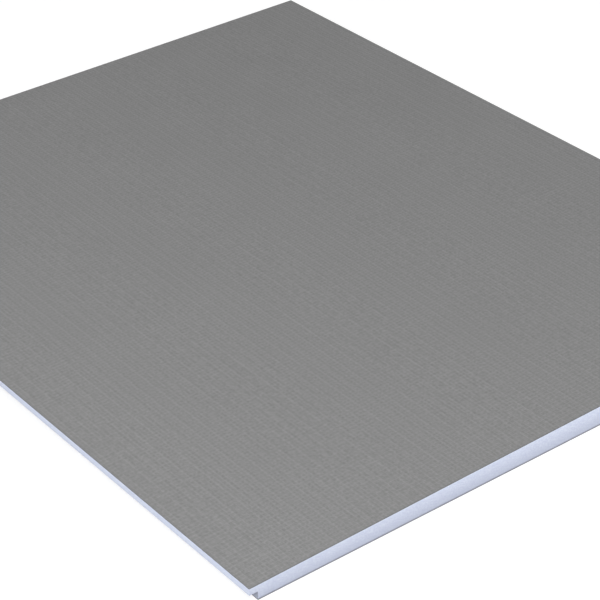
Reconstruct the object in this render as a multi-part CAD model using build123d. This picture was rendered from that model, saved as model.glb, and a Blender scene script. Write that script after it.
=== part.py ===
from build123d import *

import os

# Shower sloping board: a wedge of rigid foam between two cement facings, laid so that water runs down its top
# to a linear drain along the thin edge. The drain's flange tucks under a lip that a rebate leaves there.
# The origin is the middle of the underside, +X points up the slope and +Y along the drain.

# Board, mm
board_run = 1000.0
board_length = 1200.0
thin_edge_height = 22.0
thick_edge_height = 37.0

# Facings, mm
facing_thickness = 0.8

# Drain rebate under the thin edge, mm
rebate_depth = 12.0
rebate_height = 12.0

# How far a cut passes the board, mm
cut_overrun = 5.0

thin_edge_x = -board_run / 2
thick_edge_x = board_run / 2
core_base_z = facing_thickness


def surface_height(x):
    """Height of the sloped top above the floor."""
    rise = thick_edge_height - thin_edge_height
    return thin_edge_height + rise * (x - thin_edge_x) / board_run


def core_top_height(x):
    """Height of the foam's sloped top, under the top facing."""
    return surface_height(x) - facing_thickness


def along_the_drain(*corners):
    """A section drawn in the XZ plane, drawn out to the board's full length."""
    section = make_face(Polyline(*corners, close=True))
    return extrude(Plane.XZ * section, amount=board_length / 2, both=True)


def drain_rebate():
    """The space that the saw takes from under the thin edge, open at its foot and both ends."""
    outer_x = thin_edge_x - cut_overrun
    inner_x = thin_edge_x + rebate_depth
    foot_z = -cut_overrun
    space = Box(inner_x - outer_x, board_length + 2 * cut_overrun, rebate_height - foot_z)
    return Pos((outer_x + inner_x) / 2, 0, (foot_z + rebate_height) / 2) * space


def foam_core():
    """The tapered foam, less the drain rebate."""
    wedge = along_the_drain(
        (thin_edge_x, core_base_z),
        (thick_edge_x, core_base_z),
        (thick_edge_x, core_top_height(thick_edge_x)),
        (thin_edge_x, core_top_height(thin_edge_x)),
    )
    return wedge - drain_rebate()


def top_facing():
    """The skin over the whole slope, sawn square with the foam at its edges."""
    return along_the_drain(
        (thin_edge_x, core_top_height(thin_edge_x)),
        (thick_edge_x, core_top_height(thick_edge_x)),
        (thick_edge_x, surface_height(thick_edge_x)),
        (thin_edge_x, surface_height(thin_edge_x)),
    )


def bottom_facing():
    """The skin under the board, which the rebate cuts away along the drain."""
    sheet = along_the_drain(
        (thin_edge_x, 0),
        (thick_edge_x, 0),
        (thick_edge_x, core_base_z),
        (thin_edge_x, core_base_z),
    )
    return sheet - drain_rebate()


pieces = {
    "foam_core": foam_core(),
    "top_facing": top_facing(),
    "bottom_facing": bottom_facing(),
}

os.makedirs("parts", exist_ok=True)
for name, piece in pieces.items():
    export_step(piece, f"parts/{name}.step")
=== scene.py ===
import math

import bpy
from mathutils import Matrix, Vector


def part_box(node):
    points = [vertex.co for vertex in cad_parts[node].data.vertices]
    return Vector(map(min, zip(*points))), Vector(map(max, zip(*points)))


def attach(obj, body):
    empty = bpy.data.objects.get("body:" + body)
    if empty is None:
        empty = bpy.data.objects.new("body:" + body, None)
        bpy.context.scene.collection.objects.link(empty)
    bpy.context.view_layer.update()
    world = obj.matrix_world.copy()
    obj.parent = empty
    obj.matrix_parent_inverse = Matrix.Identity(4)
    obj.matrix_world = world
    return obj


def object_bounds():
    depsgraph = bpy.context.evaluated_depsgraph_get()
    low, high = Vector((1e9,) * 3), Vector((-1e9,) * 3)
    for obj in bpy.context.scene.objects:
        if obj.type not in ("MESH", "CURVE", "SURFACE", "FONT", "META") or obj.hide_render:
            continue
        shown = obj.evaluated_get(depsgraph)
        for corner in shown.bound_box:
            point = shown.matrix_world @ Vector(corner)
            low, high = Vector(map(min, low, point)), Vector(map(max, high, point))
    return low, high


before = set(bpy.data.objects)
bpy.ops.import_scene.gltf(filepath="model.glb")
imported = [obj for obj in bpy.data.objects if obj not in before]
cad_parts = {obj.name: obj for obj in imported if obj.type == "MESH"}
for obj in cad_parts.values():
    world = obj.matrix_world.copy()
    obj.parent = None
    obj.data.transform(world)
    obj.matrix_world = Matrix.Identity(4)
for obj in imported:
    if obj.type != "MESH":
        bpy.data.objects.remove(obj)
cad_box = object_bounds()

MM = 0.001

# The camera that took the picture, in the board's frame
CAMERA_AT_MM = (-1550.3, -2027.5, 1503.8)
CAMERA_HEADING_DEG = 38.203
CAMERA_PITCH_DEG = 31.985
CAMERA_ROLL_DEG = -0.228
LENS_MM = 124.4
SENSOR_MM = 36.0

# Soft studio light: an even sky, a broad light from behind the board, and panels near its front corner
SKY_STRENGTH = 0.3
KEY_HEADING_DEG = 38.0
KEY_ELEVATION_DEG = 50.0
KEY_SPREAD_DEG = 35.0
KEY_STRENGTH = 0.93
CORNER_PANEL_AT_M = (-1.55, -1.75, 1.6)
CORNER_PANEL_W = 27.5
FRONT_PANEL_AT_M = (1.2, -2.4, 0.5)
FRONT_PANEL_W = 23.0
LIP_PANEL_AT_M = (-2.3, 0.0, 0.9)
LIP_PANEL_W = 16.3
PANEL_SIZE_M = 1.2

# The glass mesh bedded in each facing. Warp yarns run along the drain, weft yarns up the slope.
WARP_PITCH_MM = 5.77
WARP_START_MM = 4.2
WARP_THICKNESS_SHARE = 0.47
WEFT_PITCH_MM = 6.0
WEFT_START_MM = 6.1
WEFT_THICKNESS_SHARE = 0.49
YARN_WIDTH_MM = 3.0
YARN_CREST_MM = 0.18
YARN_STEP_MM = 96.0
YARN_END_GAP_MM = 0.5
YARN_WANDER_MM = 0.6
WANDER_LENGTH_MM = 160.0
COVER_PATCH_MM = 70.0
COVER_DEPTH_MM = 0.05
TOP_MESH_SEED = 1.0
UNDERSIDE_MESH_SEED = 5.0

# Faint pale streaks along the drain, and between them darker cement that is painted shade of the hollows
# beside the yarns: a strong and a weak streak in each repeat, drawn as the sum of three waves. Crests are
# measured from the thin edge, and a share of 1 is the whole way from dark cement to pale.
STREAK_REPEAT_MM = 19.23
STREAK_WAVES_IN_REPEAT = (1, 2, 4)
STREAK_CRESTS_MM = (7.3, 8.6, 9.1)
STREAK_TONE_SHARES = (0.05, 0.094, 0.043)

# The cement skin: faint trowel clouds, its sand as a mottled tone, and grit that only the relief shows. A
# face whose normal rises less than the limit is a sawn edge of the skin, drawn darker: partly its own sawn
# tone, partly painted shade.
TROWEL_CLOUD_MM = 60.0
TROWEL_CLOUD_DETAIL = 2.0
SAND_MOTTLE_MM = 3.0
SAND_MOTTLE_DETAIL = 5.0
SAND_MOTTLE_SHARE = 0.9
GRIT_MM = 0.8
GRIT_DETAIL = 2.0
GRIT_HEIGHT_MM = 0.3
GRIT_STRENGTH = 0.6
SAWN_FACE_LIMIT = 0.5
CEMENT_ROUGHNESS = (0.8, 0.92)
CEMENT_IOR = 1.5
CEMENT_SPECULAR = 0.3

# The sawn foam, with slanting saw strokes. Painted shade makes it darker towards its underside, a painted
# contact shadow darkens its foot, and painted shade lies on the faces of the drain rebate.
FOAM_CELL_MM = 2.0
FOAM_CELL_SHARE = 0.4
SAW_STROKE_MM = 15.0
SAW_STROKE_SLIMNESS = 0.1
SAW_SLANT_DEG = 20.0
SAWN_RELIEF_MM = 0.1
SAWN_RELIEF_STRENGTH = 0.4
LOW_SHADE_MM = 24.0
LOW_SHADE_SHARE = 0.6
FOOT_SHADE_LOW_MM = 1.6
FOOT_SHADE_HIGH_MM = 3.0
FOOT_SHADE_SHARE = 0.4
REBATE_HEIGHT_MM = 12.0
REBATE_MARGIN_MM = 0.2
REBATE_SHADE_SHARE = 0.33
FOAM_ROUGHNESS = 0.6
FOAM_IOR = 1.4
FOAM_SPECULAR = 0.35

# A noise texture stays mostly between two values. The closer pair gives patches with firmer borders.
NOISE_REACH = (0.3, 0.7)
PATCH_REACH = (0.35, 0.65)

# The floor's own white grows from near the board outwards, where less light falls on it
FLOOR_SIZE_M = 60.0
FLOOR_NEAR_M = 1.2
FLOOR_FAR_M = 2.5
FLOOR_GLOW_NEAR = 0.74
FLOOR_GLOW_FAR = 0.8

# Colours as the eye reads them, sRGB
CEMENT_PALE = "8c8c8c"
CEMENT_DARK = "7c7c7c"
# A dark grey for the skin's sawn edges, partly painted shade, and for the painted shade on the foam
SAWN_AND_SHADE = "48484b"
YARN_PALE = "949494"
YARN_DARK = "838383"
FOAM_PALE = "e6edfd"
FOAM_DARK = "d2d9f0"
# The foam's colour where painted shade darkens it towards its underside
FOAM_SHADE = "b0b5c8"
FLOOR_WHITE = "ffffff"
FLOOR_SEEN = "aaaaaa"
FLOOR_BOUNCE = "c4c4c4"


def linear(hex_colour):
    """An sRGB hex colour as the linear RGBA that shaders take."""
    channels = [int(hex_colour[i:i + 2], 16) / 255 for i in (0, 2, 4)]
    curve = [c / 12.92 if c <= 0.04045 else ((c + 0.055) / 1.055) ** 2.4 for c in channels]
    return (*curve, 1.0)


def add(tree, kind, inputs=(), **settings):
    """Adds a node with its settings. inputs maps a socket's name or number to a value or an output."""
    node = tree.nodes.new(kind)
    for name, value in settings.items():
        setattr(node, name, value)
    for key, value in dict(inputs).items():
        if isinstance(value, bpy.types.NodeSocket):
            tree.links.new(value, node.inputs[key])
        else:
            node.inputs[key].default_value = value
    return node


def new_material(name):
    """An empty node material and its tree."""
    material = bpy.data.materials.new(name)
    material.use_nodes = True
    material.node_tree.nodes.clear()
    return material, material.node_tree


def streaks_and_shade(tree, x):
    """How much paler the cement is at each place up the slope; below zero it is darker with painted shade.
    """
    thin_edge_x = cad_box[0][0]
    paler = 0.0
    for count, crest, share in zip(STREAK_WAVES_IN_REPEAT, STREAK_CRESTS_MM, STREAK_TONE_SHARES):
        turn = 2 * math.pi * count / (STREAK_REPEAT_MM * MM)
        angle = add(tree, "ShaderNodeMath", {0: x, 1: turn, 2: -turn * (thin_edge_x + crest * MM)},
                    operation="MULTIPLY_ADD")
        wave = add(tree, "ShaderNodeMath", {0: angle.outputs[0]}, operation="COSINE")
        paler = add(tree, "ShaderNodeMath", {0: wave.outputs[0], 1: share, 2: paler},
                    operation="MULTIPLY_ADD").outputs[0]
    return paler


def cement(name, pale, dark):
    """Polymer-modified cement, combed over glass mesh: matt and gritty, with faint streaks, clouds and
    painted shade.
    """
    material, tree = new_material(name)
    place = add(tree, "ShaderNodeTexCoord").outputs
    # Sand of 0.2 to 0.5 mm is drawn coarser, so that it shows from a few metres
    clouds = add(tree, "ShaderNodeTexNoise", {
        "Vector": place["Object"], "Scale": 1 / (TROWEL_CLOUD_MM * MM), "Detail": TROWEL_CLOUD_DETAIL})
    mottle = add(tree, "ShaderNodeTexNoise", {
        "Vector": place["Object"], "Scale": 1 / (SAND_MOTTLE_MM * MM), "Detail": SAND_MOTTLE_DETAIL})
    grit = add(tree, "ShaderNodeTexNoise", {
        "Vector": place["Object"], "Scale": 1 / (GRIT_MM * MM), "Detail": GRIT_DETAIL})
    tone = add(tree, "ShaderNodeMix", {0: SAND_MOTTLE_SHARE, 2: clouds.outputs[0], 3: mottle.outputs[0]})
    spread = add(tree, "ShaderNodeMapRange", {0: tone.outputs[0], 1: NOISE_REACH[0], 2: NOISE_REACH[1]})
    up_the_slope = add(tree, "ShaderNodeSeparateXYZ", {0: place["Object"]}).outputs[0]
    paleness = add(tree, "ShaderNodeMath", {0: spread.outputs[0], 1: streaks_and_shade(tree, up_the_slope)},
                   operation="ADD")
    colour = add(tree, "ShaderNodeMix", {0: paleness.outputs[0], 6: linear(dark), 7: linear(pale)},
                 data_type="RGBA")
    # The saw leaves the thin edges of the skin rough and a little darker; the rest of their darkness is
    # painted shade
    facing = add(tree, "ShaderNodeSeparateXYZ", {0: place["Normal"]})
    rising = add(tree, "ShaderNodeMath", {0: facing.outputs[2]}, operation="ABSOLUTE")
    sawn_shade = add(tree, "ShaderNodeMath", {0: rising.outputs[0], 1: SAWN_FACE_LIMIT}, operation="LESS_THAN")
    shown = add(tree, "ShaderNodeMix", {0: sawn_shade.outputs[0], 6: colour.outputs[2], 7: linear(SAWN_AND_SHADE)},
                data_type="RGBA")
    relief = add(tree, "ShaderNodeBump", {
        "Height": grit.outputs[0], "Distance": GRIT_HEIGHT_MM * MM, "Strength": GRIT_STRENGTH})
    dryness = add(tree, "ShaderNodeMapRange", {
        0: clouds.outputs[0], 1: NOISE_REACH[0], 2: NOISE_REACH[1],
        3: CEMENT_ROUGHNESS[0], 4: CEMENT_ROUGHNESS[1]})
    shader = add(tree, "ShaderNodeBsdfPrincipled", {
        "Base Color": shown.outputs[2], "Roughness": dryness.outputs[0], "Normal": relief.outputs[0],
        "IOR": CEMENT_IOR, "Specular IOR Level": CEMENT_SPECULAR})
    add(tree, "ShaderNodeOutputMaterial", {"Surface": shader.outputs[0]})
    return material


def sawn_foam(rebate_wall_x):
    """Extruded polystyrene foam, sawn: pale lilac and satin, with closed cells and slanting saw strokes."""
    material, tree = new_material("extruded_polystyrene_sawn")
    place = add(tree, "ShaderNodeTexCoord").outputs["Object"]
    # The real cells are about 0.2 mm and are drawn ten times as coarse, so that they show
    cells = add(tree, "ShaderNodeTexVoronoi", {"Vector": place, "Scale": 1 / (FOAM_CELL_MM * MM)})
    # The saw strokes are drawn out along the slant, and a tenth as far apart as they are long
    slant = add(tree, "ShaderNodeMapping", {
        "Vector": place, "Rotation": (0.0, math.radians(SAW_SLANT_DEG), 0.0),
        "Scale": (1.0, 1.0, SAW_STROKE_SLIMNESS)}, vector_type="TEXTURE")
    saw = add(tree, "ShaderNodeTexNoise", {"Vector": slant.outputs[0], "Scale": 1 / (SAW_STROKE_MM * MM)})
    tone = add(tree, "ShaderNodeMix", {0: FOAM_CELL_SHARE, 2: saw.outputs[0], 3: cells.outputs[0]})
    spread = add(tree, "ShaderNodeMapRange", {0: tone.outputs[0], 1: NOISE_REACH[0], 2: NOISE_REACH[1]})
    colour = add(tree, "ShaderNodeMix", {0: spread.outputs[0], 6: linear(FOAM_DARK), 7: linear(FOAM_PALE)},
                 data_type="RGBA")
    # Painted shade: the foam is drawn a little darker towards its underside
    place_xyz = add(tree, "ShaderNodeSeparateXYZ", {0: place}).outputs
    low_shade = add(tree, "ShaderNodeMapRange", {
        0: place_xyz[2], 1: 0.0, 2: LOW_SHADE_MM * MM, 3: LOW_SHADE_SHARE, 4: 0.0})
    shaded = add(tree, "ShaderNodeMix", {0: low_shade.outputs[0], 6: colour.outputs[2], 7: linear(FOAM_SHADE)},
                data_type="RGBA")
    # Painted contact shadow: the foam's lowest millimetres, just above the skin, are drawn darker
    foot_shade = add(tree, "ShaderNodeMapRange", {
        0: place_xyz[2], 1: FOOT_SHADE_LOW_MM * MM, 2: FOOT_SHADE_HIGH_MM * MM, 3: FOOT_SHADE_SHARE, 4: 0.0})
    # Painted shade on the faces of the rebate, under the lip
    deep = add(tree, "ShaderNodeMath", {0: place_xyz[0], 1: rebate_wall_x + REBATE_MARGIN_MM * MM},
               operation="LESS_THAN")
    low = add(tree, "ShaderNodeMath", {0: place_xyz[2], 1: (REBATE_HEIGHT_MM + REBATE_MARGIN_MM) * MM},
              operation="LESS_THAN")
    inside = add(tree, "ShaderNodeMath", {0: deep.outputs[0], 1: low.outputs[0]}, operation="MULTIPLY")
    rebate_shade = add(tree, "ShaderNodeMath", {0: inside.outputs[0], 1: REBATE_SHADE_SHARE}, operation="MULTIPLY")
    shading = add(tree, "ShaderNodeMath", {0: foot_shade.outputs[0], 1: rebate_shade.outputs[0]}, operation="MAXIMUM")
    shown = add(tree, "ShaderNodeMix", {0: shading.outputs[0], 6: shaded.outputs[2], 7: linear(SAWN_AND_SHADE)},
                data_type="RGBA")
    rough = add(tree, "ShaderNodeMath", {0: cells.outputs[0], 1: saw.outputs[0]}, operation="ADD")
    relief = add(tree, "ShaderNodeBump", {
        "Height": rough.outputs[0], "Distance": SAWN_RELIEF_MM * MM, "Strength": SAWN_RELIEF_STRENGTH})
    shader = add(tree, "ShaderNodeBsdfPrincipled", {
        "Base Color": shown.outputs[2], "Roughness": FOAM_ROUGHNESS, "Normal": relief.outputs[0],
        "IOR": FOAM_IOR, "Specular IOR Level": FOAM_SPECULAR})
    add(tree, "ShaderNodeOutputMaterial", {"Surface": shader.outputs[0]})
    return material


def yarn_tree():
    """A Geometry Nodes tree that lays a low yarn ridge at each point, half sunk in its facing."""
    tree = bpy.data.node_groups.new("bedded_yarns", "GeometryNodeTree")
    sizes = {
        "Geometry": "Geometry", "Length": "Float", "Points": "Int", "Width": "Float", "Crest": "Float",
        "Turn": "Rotation", "Wander": "Vector", "Wander length": "Float", "Cover": "Float",
        "Patch": "Float", "Seed": "Float", "Material": "Material"}
    for name, kind in sizes.items():
        tree.interface.new_socket(name, in_out="INPUT", socket_type="NodeSocket" + kind)
    tree.interface.new_socket("Geometry", in_out="OUTPUT", socket_type="NodeSocketGeometry")
    given = add(tree, "NodeGroupInput").outputs

    # One straight ridge along +Y, diamond in section, its lower half in the cement
    half = add(tree, "ShaderNodeMath", {0: given["Length"], 1: 0.5}, operation="MULTIPLY")
    back = add(tree, "ShaderNodeMath", {0: given["Length"], 1: -0.5}, operation="MULTIPLY")
    end = add(tree, "ShaderNodeCombineXYZ", {1: half.outputs[0]})
    start = add(tree, "ShaderNodeCombineXYZ", {1: back.outputs[0]})
    line = add(tree, "GeometryNodeCurvePrimitiveLine", {"Start": start.outputs[0], "End": end.outputs[0]})
    fine_line = add(tree, "GeometryNodeResampleCurve", {"Curve": line.outputs[0], "Count": given["Points"]})
    section = add(tree, "GeometryNodeCurvePrimitiveQuadrilateral", {
        "Width": given["Width"], "Bottom Height": given["Crest"], "Top Height": given["Crest"]},
        mode="KITE")
    swept = add(tree, "GeometryNodeCurveToMesh", {
        "Curve": fine_line.outputs[0], "Profile Curve": section.outputs[0], "Fill Caps": True})
    ridge = add(tree, "GeometryNodeSetShadeSmooth", {0: swept.outputs[0], "Shade Smooth": False})

    laid = add(tree, "GeometryNodeInstanceOnPoints", {
        "Points": given["Geometry"], "Instance": ridge.outputs[0], "Rotation": given["Turn"]})
    ridges = add(tree, "GeometryNodeRealizeInstances", {0: laid.outputs[0]})

    # The cement covers the yarns unevenly, so they sink deeper in places
    place = add(tree, "GeometryNodeInputPosition").outputs[0]
    patches = add(tree, "ShaderNodeMath", {0: 1.0, 1: given["Patch"]}, operation="DIVIDE")
    cloud = add(tree, "ShaderNodeTexNoise", {
        "Vector": place, "W": given["Seed"], "Scale": patches.outputs[0]}, noise_dimensions="4D")
    depth = add(tree, "ShaderNodeMapRange", {0: cloud.outputs[0], 1: PATCH_REACH[0], 2: PATCH_REACH[1]})
    drop = add(tree, "ShaderNodeMath", {0: depth.outputs[0], 1: given["Cover"]}, operation="MULTIPLY")
    down = add(tree, "ShaderNodeCombineXYZ", {2: drop.outputs[0]})

    # They also wander a little to each side, since a noise texture swings about a half
    bends = add(tree, "ShaderNodeMath", {0: 1.0, 1: given["Wander length"]}, operation="DIVIDE")
    stray = add(tree, "ShaderNodeTexNoise", {
        "Vector": place, "W": given["Seed"], "Scale": bends.outputs[0]}, noise_dimensions="4D")
    side = add(tree, "ShaderNodeMath", {0: stray.outputs[0], 1: 0.5}, operation="SUBTRACT")
    swing = add(tree, "ShaderNodeVectorMath", {0: given["Wander"], "Scale": side.outputs[0]},
                operation="SCALE")
    offset = add(tree, "ShaderNodeVectorMath", {0: swing.outputs[0], 1: down.outputs[0]},
                 operation="SUBTRACT")
    bedded = add(tree, "GeometryNodeSetPosition", {
        "Geometry": ridges.outputs[0], "Offset": offset.outputs[0]})
    finished = add(tree, "GeometryNodeSetMaterial", {0: bedded.outputs[0], "Material": given["Material"]})
    add(tree, "NodeGroupOutput", {0: finished.outputs[0]})
    return tree


def lay_yarns(name, tree, middles, thickness, length, turn, wander, cover, seed, material):
    """One set of parallel yarns as a plain mesh, from the middle of each yarn and their thickness share."""
    seeds = bpy.data.meshes.new(name)
    seeds.from_pydata(middles, [], [])
    piece = bpy.data.objects.new(name, seeds)
    bpy.context.scene.collection.objects.link(piece)
    modifier = piece.modifiers.new("yarns", "NODES")
    modifier.node_group = tree
    sizes = {
        "Length": length, "Points": round(length / (YARN_STEP_MM * MM)) + 1,
        "Width": thickness * YARN_WIDTH_MM * MM, "Crest": thickness * YARN_CREST_MM * MM,
        "Turn": turn, "Wander": wander, "Wander length": WANDER_LENGTH_MM * MM,
        "Cover": cover, "Patch": COVER_PATCH_MM * MM, "Seed": seed, "Material": material}
    for item in tree.interface.items_tree:
        if item.in_out == "INPUT" and item.name in sizes:
            modifier[item.identifier] = sizes[item.name]
    bpy.context.view_layer.update()
    evaluated = piece.evaluated_get(bpy.context.evaluated_depsgraph_get())
    piece.data = bpy.data.meshes.new_from_object(evaluated)
    piece.data.materials.pop(index=0)
    piece.data.name = name
    piece.modifiers.clear()
    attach(piece, "root")


def steps(low, high, start, pitch):
    """Places from low + start, a pitch apart, that keep a yarn's width inside low and high."""
    margin = YARN_WIDTH_MM * MM
    count = math.ceil((high - low) / pitch) + 1
    places = [low + start + i * pitch for i in range(count)]
    return [p for p in places if low + margin <= p <= high - margin]


def mesh_print(side, tree, low, high, rise, cover, seed, material):
    """The warp and weft of one facing's mesh, over a surface from its low corner to its high one."""
    middle = (low + high) / 2
    run, length = high.x - low.x, high.y - low.y
    slope = math.atan2(rise, run)
    short = 2 * YARN_END_GAP_MM * MM
    warp = [(x, middle.y, middle.z + rise * (x - middle.x) / run)
            for x in steps(low.x, high.x, WARP_START_MM * MM, WARP_PITCH_MM * MM)]
    weft = [(middle.x, y, middle.z) for y in steps(low.y, high.y, WEFT_START_MM * MM, WEFT_PITCH_MM * MM)]
    wander = YARN_WANDER_MM * MM
    lay_yarns(side + "_warp_yarns", tree, warp, WARP_THICKNESS_SHARE,
              length - short, (0, -slope, 0), (wander, 0, 0), cover, seed, material)
    lay_yarns(side + "_weft_yarns", tree, weft, WEFT_THICKNESS_SHARE,
              run / math.cos(slope) - short, (slope, 0, -math.pi / 2), (0, wander, 0), cover, seed + 1,
              material)


def finish_node(name, material):
    """Gives a CAD node its material."""
    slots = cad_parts[name].material_slots
    for slot in slots:
        slot.material = material


def pale_floor(z):
    """A white floor at height z. To the camera it glows, and is plain white but for the board's shadow."""
    material, tree = new_material("white_floor")
    seen = add(tree, "ShaderNodeLightPath").outputs["Is Camera Ray"]
    place = add(tree, "ShaderNodeTexCoord").outputs["Object"]
    away = add(tree, "ShaderNodeVectorMath", {0: place}, operation="LENGTH").outputs["Value"]
    own_white = add(tree, "ShaderNodeMapRange", {
        0: away, 1: FLOOR_NEAR_M, 2: FLOOR_FAR_M, 3: FLOOR_GLOW_NEAR, 4: FLOOR_GLOW_FAR})
    colour = add(tree, "ShaderNodeMix", {0: seen, 6: linear(FLOOR_BOUNCE), 7: linear(FLOOR_SEEN)},
                 data_type="RGBA")
    lit = add(tree, "ShaderNodeBsdfDiffuse", {"Color": colour.outputs[2]})
    glow = add(tree, "ShaderNodeMath", {0: seen, 1: own_white.outputs[0]}, operation="MULTIPLY")
    white = add(tree, "ShaderNodeEmission", {"Color": linear(FLOOR_WHITE), "Strength": glow.outputs[0]})
    shader = add(tree, "ShaderNodeAddShader", {0: lit.outputs[0], 1: white.outputs[0]})
    add(tree, "ShaderNodeOutputMaterial", {"Surface": shader.outputs[0]})
    half = FLOOR_SIZE_M / 2
    mesh = bpy.data.meshes.new("floor")
    corners = [(-half, -half, z), (half, -half, z), (half, half, z), (-half, half, z)]
    mesh.from_pydata(corners, [], [(0, 1, 2, 3)])
    mesh.materials.append(material)
    floor = bpy.data.objects.new("floor", mesh)
    bpy.context.scene.collection.objects.link(floor)


def white_surround():
    """An even sky, seen as plain white by the camera and in gloss."""
    world = bpy.data.worlds.new("white_surround")
    world.use_nodes = True
    tree = world.node_tree
    tree.nodes.clear()
    path = add(tree, "ShaderNodeLightPath").outputs
    direct = add(tree, "ShaderNodeMath", {0: path["Is Camera Ray"], 1: path["Is Glossy Ray"]},
                 operation="MAXIMUM")
    shown = add(tree, "ShaderNodeMath", {0: direct.outputs[0], 1: path["Is Transmission Ray"]},
                operation="MAXIMUM")
    strength = add(tree, "ShaderNodeMix", {0: shown.outputs[0], 2: SKY_STRENGTH, 3: 1.0})
    sky = add(tree, "ShaderNodeBackground", {"Color": linear(FLOOR_WHITE), "Strength": strength.outputs[0]})
    add(tree, "ShaderNodeOutputWorld", {"Surface": sky.outputs[0]})
    bpy.context.scene.world = world


def hang_light(name, kind, place, energy):
    """A lamp at a place, aimed at the middle of the board."""
    lamp = bpy.data.lights.new(name, kind)
    lamp.energy = energy
    light = bpy.data.objects.new(name, lamp)
    light.location = place
    light.rotation_euler = (-Vector(place)).to_track_quat("-Z", "Y").to_euler()
    bpy.context.scene.collection.objects.link(light)
    return lamp


def soft_light():
    """The broad light from behind the board, a panel over its near corner and one along each near edge."""
    heading, elevation = math.radians(KEY_HEADING_DEG), math.radians(KEY_ELEVATION_DEG)
    level = math.cos(elevation)
    towards_key = (level * math.sin(heading), level * math.cos(heading), math.sin(elevation))
    key = hang_light("back_light", "SUN", towards_key, KEY_STRENGTH)
    key.angle = math.radians(KEY_SPREAD_DEG)
    hang_light("corner_panel", "AREA", CORNER_PANEL_AT_M, CORNER_PANEL_W).size = PANEL_SIZE_M
    hang_light("front_panel", "AREA", FRONT_PANEL_AT_M, FRONT_PANEL_W).size = PANEL_SIZE_M
    hang_light("lip_panel", "AREA", LIP_PANEL_AT_M, LIP_PANEL_W).size = PANEL_SIZE_M


def photo_camera():
    """The camera at the picture's place, angle and lens."""
    lens = bpy.data.cameras.new("photo_camera")
    lens.lens = LENS_MM
    lens.sensor_width = SENSOR_MM
    camera = bpy.data.objects.new("photo_camera", lens)
    heading = Matrix.Rotation(-math.radians(CAMERA_HEADING_DEG), 4, "Z")
    tilt = Matrix.Rotation(math.radians(90 - CAMERA_PITCH_DEG), 4, "X")
    roll = Matrix.Rotation(math.radians(CAMERA_ROLL_DEG), 4, "Z")
    place = Matrix.Translation(Vector(CAMERA_AT_MM) * MM)
    camera.matrix_world = place @ heading @ tilt @ roll
    bpy.context.scene.collection.objects.link(camera)
    bpy.context.scene.camera = camera


photo_camera()
white_surround()
soft_light()

facing_skin = cement("polymer_cement_trowelled", CEMENT_PALE, CEMENT_DARK)
yarn_skin = cement("glass_yarn_under_cement", YARN_PALE, YARN_DARK)
under_low, under_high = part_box("bottom_facing")
top_low, top_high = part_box("top_facing")
finish_node("foam_core", sawn_foam(under_low.x))
finish_node("top_facing", facing_skin)
finish_node("bottom_facing", facing_skin)

facing_thickness = under_high.z - under_low.z
top_low.z += facing_thickness
under_high.z = under_low.z
yarns = yarn_tree()
# The cover is how far the yarns sink: downwards under the top's cement, upwards over the underside's
cover = COVER_DEPTH_MM * MM
mesh_print("top", yarns, top_low, top_high, top_high.z - top_low.z, cover, TOP_MESH_SEED, yarn_skin)
mesh_print("bottom", yarns, under_low, under_high, 0.0, -cover, UNDERSIDE_MESH_SEED, yarn_skin)

bpy.context.scene.view_settings.view_transform = "Standard"
visual_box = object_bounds()
pale_floor(visual_box[0].z)
